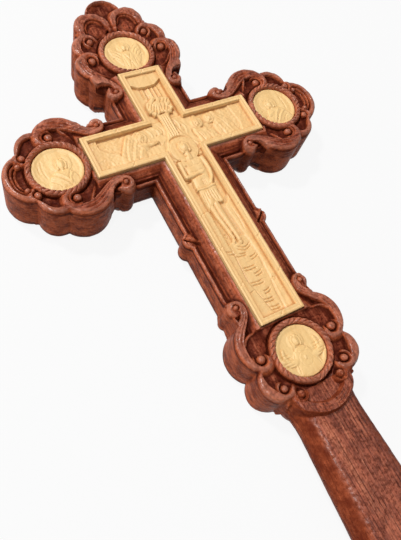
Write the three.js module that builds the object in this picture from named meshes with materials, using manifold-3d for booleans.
// A hand-held blessing cross of carved dark wood with light wood inlays, lying on its back.
// +Z points out of its front, +Y to its top and +X to its right. Sizes are in millimetres.
import * as THREE from "three";
import { mergeVertices } from "three/addons/utils/BufferGeometryUtils.js";
import Module from "manifold-3d";

const wasm = await Module();
wasm.setup();

// Thickness over the rope rings, and how far other faces lie below them
const thickness = 21.4;
const scrollDrop = 0.5;
const inlayDrop = 0.35;
const crescentDrop = 1;
const handleDrop = 3.4;
const fieldDrop = 2.9;
const rimDrop = 4.25;

// Shaft and crossbar
const shaftHalfWidth = 17.6;
const rimWidth = 2.3;
const nodeDistance = 47;
const nodeRadius = 4;
const nodeReach = 2.2;

// Places of the medallions, from the middle of the crossing
const armMedallion = 52.3;
const topMedallion = 48.3;
const lowerMedallion = 104.6;

// Medallions and the carved rope rings round them
const medallionRadius = 10.2;
const medallionEdge = 2.2;
const medallionDome = 0.9;
const medallionLetIn = 1.25;
const ringWidth = 2.4;

// Inlaid light panels, and how far their ends stop short of the rope rings
const inlayHalfWidth = 10;
const inlayThickness = 5.4;
const sideEndGap = 0.1;
const topEndGap = -1.4;
const lowerEndGap = 1.3;
const frameWidth = 2.5;
const frameDepth = 1.6;

// Handle: its neck is measured from the lower medallion and its length from the neck
const neckDistance = 27.4;
const handleLength = 118;
const neckHalfWidth = 13.5;
const handleFlare = 4.2;
const handleSwell = 1.2;
const handleCorner = 7;
const endRounding = 13;
const endEdgeRounding = 5;

// Carving
const scrollWidth = 3;
const ballRadius = 2.2;
const waistInset = 0.5;
const headMargin = 3.2;

// Glue line between any two pieces
const glueGap = 0.25;

// Heads: places are measured out from the medallion and across from the limb's middle line
const armHead = {
  block: 4.5,
  lobes: [
    { past: 9.7, across: 0, radius: 12 },
    { past: 4.5, across: 11.5, radius: 8.4 },
    { past: -5.6, across: 12.5, radius: 11.5 },
    { past: -12.8, across: 15, radius: 6.2 },
  ],
  balls: [
    { past: -1.7, across: 14.5 },
    { past: 11.2, across: 9.2 },
  ],
  knob: { past: -23, reach: 1.7, radius: 3.2 },
};
const topHead = {
  block: 7.7,
  lobes: [
    { past: 25.2, across: 0, radius: 8.9 },
    { past: 19.7, across: 9.2, radius: 7.6 },
    { past: 7.7, across: 15.7, radius: 7.1 },
    { past: -2.3, across: 15.5, radius: 9.8 },
    { past: -9.8, across: 15.8, radius: 6.4 },
  ],
  balls: [
    { past: -0.9, across: 16.6 },
    { past: 9.9, across: 13.8 },
  ],
  knob: { past: -19.2, reach: 0.7, radius: 3.3 },
};
const lowerHead = {
  block: 6.2,
  lobes: [
    { past: 6.2, across: 14, radius: 8.3 },
    { past: -8.1, across: 12, radius: 11.6 },
  ],
  balls: [
    { past: -2.6, across: 16 },
    { past: 9.9, across: 13.5 },
  ],
  knob: { past: -24.1, reach: 0.9, radius: 3.2 },
};
const crescent = { past: 13.2, radius: 12.2, width: 5 };

const darkWood = new THREE.MeshStandardMaterial({ color: 0x7d3d2b, roughness: 0.5, metalness: 0 });
const lightWood = new THREE.MeshStandardMaterial({ color: 0xf0cb8c, roughness: 0.6, metalness: 0 });

// Heights of the faces above the middle plane of the cross
const ringFace = thickness / 2;
const scrollFace = ringFace - scrollDrop;
const inlayFace = ringFace - inlayDrop;
const crescentFace = ringFace - crescentDrop;
const handleFace = ringFace - handleDrop;
const fieldFace = ringFace - fieldDrop;
const rimFace = ringFace - rimDrop;
const inlaySeat = inlayFace - inlayThickness;
const medallionSeat = fieldFace - medallionLetIn;

const bedHalfWidth = shaftHalfWidth - rimWidth;
const ringRadius = medallionRadius + glueGap + ringWidth;
const inlayReach = {
  side: armMedallion - ringRadius - sideEndGap,
  top: topMedallion - ringRadius - topEndGap,
  lower: lowerMedallion - ringRadius - lowerEndGap,
};
const neck = lowerMedallion + neckDistance;
const handleEnd = neck + handleLength;

// Tools that cut down from a face start this high, clear above every face
const above = thickness;
const roundSides = 24;
const bothSides = [-1, 1];

// Unit vectors that point from the crossing out along each of the four limbs
const limbs = {
  top: new THREE.Vector2(0, 1),
  lower: new THREE.Vector2(0, -1),
  left: new THREE.Vector2(-1, 0),
  right: new THREE.Vector2(1, 0),
};

// The point a given way out along a limb and a given way across it
function place(limb, along, across) {
  return new THREE.Vector2(
    limb.x * along + limb.y * across,
    limb.y * along - limb.x * across,
  );
}

function solidOf(geometry) {
  geometry.deleteAttribute("normal");
  geometry.deleteAttribute("uv");
  const merged = mergeVertices(geometry, 1e-5);
  return new wasm.Manifold(new wasm.Mesh({
    numProp: 3,
    vertProperties: new Float32Array(merged.attributes.position.array),
    triVerts: new Uint32Array(merged.index.array),
  }));
}

const join = (solids) => solids.reduce((all, next) => all.add(next));
const cut = (solid, tools) => solid.subtract(join(tools));

// A slab of a plan outline between two heights
function slab(outline, from, to) {
  const depth = Math.abs(to - from);
  const geometry = new THREE.ExtrudeGeometry(outline, { depth, bevelEnabled: false });
  return solidOf(geometry.translate(0, 0, Math.min(from, to)));
}

function disc(centre, radius, from, to) {
  const geometry = new THREE.CylinderGeometry(radius, radius, Math.abs(to - from), roundSides);
  return solidOf(geometry.rotateX(Math.PI / 2).translate(centre.x, centre.y, (from + to) / 2));
}

function box(x0, x1, y0, y1, z0, z1) {
  const geometry = new THREE.BoxGeometry(x1 - x0, y1 - y0, z1 - z0);
  return solidOf(geometry.translate((x0 + x1) / 2, (y0 + y1) / 2, (z0 + z1) / 2));
}

// A box along a limb, as wide as twice its half width
function limbBox(limb, start, end, halfWidth, from, to) {
  const a = place(limb, start, -halfWidth);
  const b = place(limb, end, halfWidth);
  const low = Math.min(from, to);
  const high = Math.max(from, to);
  return box(
    Math.min(a.x, b.x), Math.max(a.x, b.x), Math.min(a.y, b.y), Math.max(a.y, b.y), low, high,
  );
}

// Lobes of one head, drawn in from their outline by a margin
function lobeDiscs(limb, medallion, head, margin, from, to) {
  return head.lobes.flatMap((lobe) => bothSides.map((hand) => disc(
    place(limb, medallion + lobe.past, hand * lobe.across), lobe.radius - margin, from, to,
  )));
}

// One head: the lobed block, its sunk fields on both faces, the knobs, balls and rope rings
function headBlock(limb, medallion, head) {
  const centre = place(limb, medallion, 0);
  const knobAlong = medallion + head.knob.past;
  const knobAcross = shaftHalfWidth + head.knob.reach - head.knob.radius;
  const block = join([
    limbBox(
      limb, knobAlong, medallion + head.block, shaftHalfWidth - waistInset, -scrollFace, scrollFace,
    ),
    ...lobeDiscs(limb, medallion, head, 0, -scrollFace, scrollFace),
    ...bothSides.map((hand) => disc(
      place(limb, knobAlong, hand * knobAcross), head.knob.radius, -scrollFace, scrollFace,
    )),
  ]);
  const sunk = bothSides.flatMap((face) => [
    ...lobeDiscs(limb, medallion, head, scrollWidth, face * fieldFace, face * above),
    disc(centre, ringRadius - ringWidth / 2, face * fieldFace, face * above),
    limbBox(
      limb, knobAlong, medallion, inlayHalfWidth + headMargin, face * fieldFace, face * above,
    ),
  ]);
  const balls = bothSides.flatMap((face) => bothSides.flatMap((hand) => head.balls.map((ball) => {
    const at = place(limb, medallion + ball.past, hand * ball.across);
    const dome = new THREE.SphereGeometry(ballRadius, 8, 6);
    return solidOf(dome.translate(at.x, at.y, face * fieldFace));
  })));
  const ring = disc(centre, ringRadius, -ringFace, ringFace);
  return join([cut(block, sunk), ring, ...balls]);
}

// The plan outline of an inlaid panel, grown on every side by a margin
function inlayOutline(margin) {
  const half = inlayHalfWidth + margin;
  const side = inlayReach.side + margin;
  const top = inlayReach.top + margin;
  const lower = inlayReach.lower + margin;
  return new THREE.Shape([
    new THREE.Vector2(half, half),
    new THREE.Vector2(half, top),
    new THREE.Vector2(-half, top),
    new THREE.Vector2(-half, half),
    new THREE.Vector2(-side, half),
    new THREE.Vector2(-side, -half),
    new THREE.Vector2(-half, -half),
    new THREE.Vector2(-half, -lower),
    new THREE.Vector2(half, -lower),
    new THREE.Vector2(half, -half),
    new THREE.Vector2(side, -half),
    new THREE.Vector2(side, half),
  ]);
}

// Everything that is cut into both boards: the pockets of the inlays and medallions
function pockets() {
  return bothSides.flatMap((face) => [
    slab(inlayOutline(glueGap), face * (inlaySeat - glueGap), face * above),
    ...[
      place(limbs.top, topMedallion, 0),
      place(limbs.lower, lowerMedallion, 0),
      place(limbs.left, armMedallion, 0),
      place(limbs.right, armMedallion, 0),
    ].map((at) => disc(
      at, medallionRadius + glueGap, face * (medallionSeat - glueGap), face * above,
    )),
  ]);
}

// A run of shaft from the far side of the crossing out along a limb: low rims along its edges and,
// as far as the head's field, the higher bed that the inlay lies in
function shaft(limb, medallion, head) {
  const bedEnd = medallion + head.knob.past;
  return join([
    limbBox(limb, -shaftHalfWidth, medallion, shaftHalfWidth, -rimFace, rimFace),
    limbBox(limb, -shaftHalfWidth, bedEnd, bedHalfWidth, -fieldFace, fieldFace),
  ]);
}

// Half width and half thickness of the handle a given way below the crossing
function handleSize(along) {
  const reach = THREE.MathUtils.clamp((along - neck) / handleLength, 0, 1);
  const left = THREE.MathUtils.clamp((handleEnd - along) / endRounding, 0, 1);
  const drawnIn = 1 - Math.sqrt(1 - (1 - left) ** 2);
  return {
    halfWidth: neckHalfWidth + handleFlare * Math.sin(reach * Math.PI / 2) - endRounding * drawnIn,
    halfThickness: handleFace + handleSwell * reach ** 2 - endEdgeRounding * drawnIn,
  };
}

// A rounded rectangle in the plane across the handle
function handleSection(along) {
  const { halfWidth, halfThickness } = handleSize(along);
  const corner = Math.min(handleCorner, 0.9 * halfWidth, 0.9 * halfThickness);
  const steps = 7;
  const points = [];
  for (let quarter = 0; quarter < 4; quarter += 1) {
    const signX = quarter === 0 || quarter === 3 ? 1 : -1;
    const signZ = quarter < 2 ? 1 : -1;
    for (let step = 0; step < steps; step += 1) {
      const angle = (quarter + step / (steps - 1)) * Math.PI / 2;
      points.push(
        signX * (halfWidth - corner) + corner * Math.cos(angle),
        -along,
        signZ * (halfThickness - corner) + corner * Math.sin(angle),
      );
    }
  }
  return points;
}

// The handle: rounded sections from inside the lower head to its round end
function handle() {
  const start = lowerMedallion + ringRadius - ringWidth;
  const straightEnd = handleEnd - endRounding;
  const runs = 10;
  const curves = 6;
  const stations = [];
  for (let run = 0; run <= runs; run += 1) {
    stations.push(start + (straightEnd - start) * run / runs);
  }
  for (let step = 1; step <= curves; step += 1) {
    stations.push(straightEnd + endRounding * Math.sin(step / curves * Math.PI / 2));
  }
  const sections = stations.map(handleSection);
  const sides = sections[0].length / 3;
  const last = (sections.length - 1) * sides;
  const index = [];
  for (let section = 0; section < sections.length - 1; section += 1) {
    for (let side = 0; side < sides; side += 1) {
      const a = section * sides + side;
      const b = section * sides + (side + 1) % sides;
      index.push(a, b, a + sides);
      index.push(b, b + sides, a + sides);
    }
  }
  for (let side = 1; side < sides - 1; side += 1) {
    index.push(0, side + 1, side);
    index.push(last, last + side, last + side + 1);
  }
  const geometry = new THREE.BufferGeometry();
  geometry.setAttribute("position", new THREE.Float32BufferAttribute(sections.flat(), 3));
  geometry.setIndex(index);
  return solidOf(geometry);
}

// The crescent scroll under the lower medallion, raised on both faces of the handle
function crescentScroll() {
  const centre = place(limbs.lower, lowerMedallion + crescent.past, 0);
  const inner = bothSides.map((face) => disc(
    centre, crescent.radius - crescent.width, face * handleFace, face * above,
  ));
  return cut(disc(centre, crescent.radius, -crescentFace, crescentFace), inner);
}

// The two bumps half way down the shaft
function shaftNode() {
  return bothSides.map((hand) => disc(
    place(limbs.lower, nodeDistance, hand * (shaftHalfWidth + nodeReach - nodeRadius)),
    nodeRadius, -rimFace, rimFace,
  ));
}

// The square where the boards cross: the upright keeps its front half, the crossbar its back half
function crossingBlock(from, to) {
  const half = shaftHalfWidth + glueGap;
  return box(-half, half, -half, half, from, to);
}

// The bed of one board's neighbour, carried across the square of the crossing
function crossingBed(limb) {
  return limbBox(limb, -shaftHalfWidth, shaftHalfWidth, bedHalfWidth, -fieldFace, fieldFace);
}

function upright() {
  const board = join([
    shaft(limbs.top, topMedallion, topHead),
    shaft(limbs.lower, lowerMedallion, lowerHead),
    crossingBed(limbs.right),
    ...shaftNode(),
    headBlock(limbs.top, topMedallion, topHead),
    headBlock(limbs.lower, lowerMedallion, lowerHead),
    crescentScroll(),
    handle(),
  ]);
  return cut(board, [...pockets(), crossingBlock(-above, 0)]);
}

function crossbar() {
  const board = join([
    shaft(limbs.left, armMedallion, armHead),
    shaft(limbs.right, armMedallion, armHead),
    crossingBed(limbs.top),
    headBlock(limbs.left, armMedallion, armHead),
    headBlock(limbs.right, armMedallion, armHead),
  ]);
  return cut(board, [...pockets(), crossingBlock(-glueGap, above)]);
}

// A light panel with a raised frame round its sunk picture field
function inlay(face) {
  return cut(
    slab(inlayOutline(0), face * inlaySeat, face * inlayFace),
    [slab(inlayOutline(-frameWidth), face * (inlayFace - frameDepth), face * above)],
  );
}

// A round light plaque with a low dome
function medallion(face, limb, along) {
  const profile = [new THREE.Vector2(0, 0), new THREE.Vector2(medallionRadius, 0)];
  const steps = 2;
  for (let step = 0; step <= steps; step += 1) {
    const out = 1 - step / steps;
    const height = medallionEdge + medallionDome * (1 - out ** 2);
    profile.push(new THREE.Vector2(medallionRadius * out, height));
  }
  const geometry = new THREE.LatheGeometry(profile, roundSides);
  const at = place(limb, along, 0);
  geometry.rotateX(face * Math.PI / 2).translate(at.x, at.y, face * medallionSeat);
  return solidOf(geometry);
}

function meshOf(name, solid, material) {
  const { vertProperties, triVerts } = solid.getMesh();
  const geometry = new THREE.BufferGeometry();
  geometry.setAttribute("position", new THREE.BufferAttribute(vertProperties, 3));
  geometry.setIndex(new THREE.BufferAttribute(triVerts, 1));
  geometry.computeVertexNormals();
  const mesh = new THREE.Mesh(geometry, material);
  mesh.name = name;
  return mesh;
}

// The cross lies with its back rope rings on z = 0, and its box is centred on the origin
const topReach = topMedallion + topHead.lobes[0].past + topHead.lobes[0].radius;
const cross = new THREE.Group();
cross.position.set(0, (handleEnd - topReach) / 2, ringFace);
cross.add(meshOf("upright", upright(), darkWood));
cross.add(meshOf("crossbar", crossbar(), darkWood));
for (const [side, face] of [["front", 1], ["back", -1]]) {
  cross.add(meshOf(`${side}_inlay`, inlay(face), lightWood));
  cross.add(meshOf(`${side}_top_medallion`, medallion(face, limbs.top, topMedallion), lightWood));
  cross.add(meshOf(`${side}_lower_medallion`, medallion(face, limbs.lower, lowerMedallion), lightWood));
  cross.add(meshOf(`${side}_left_medallion`, medallion(face, limbs.left, armMedallion), lightWood));
  cross.add(meshOf(`${side}_right_medallion`, medallion(face, limbs.right, armMedallion), lightWood));
}

const blessingCross = new THREE.Group();
blessingCross.add(cross);

export default blessingCross;
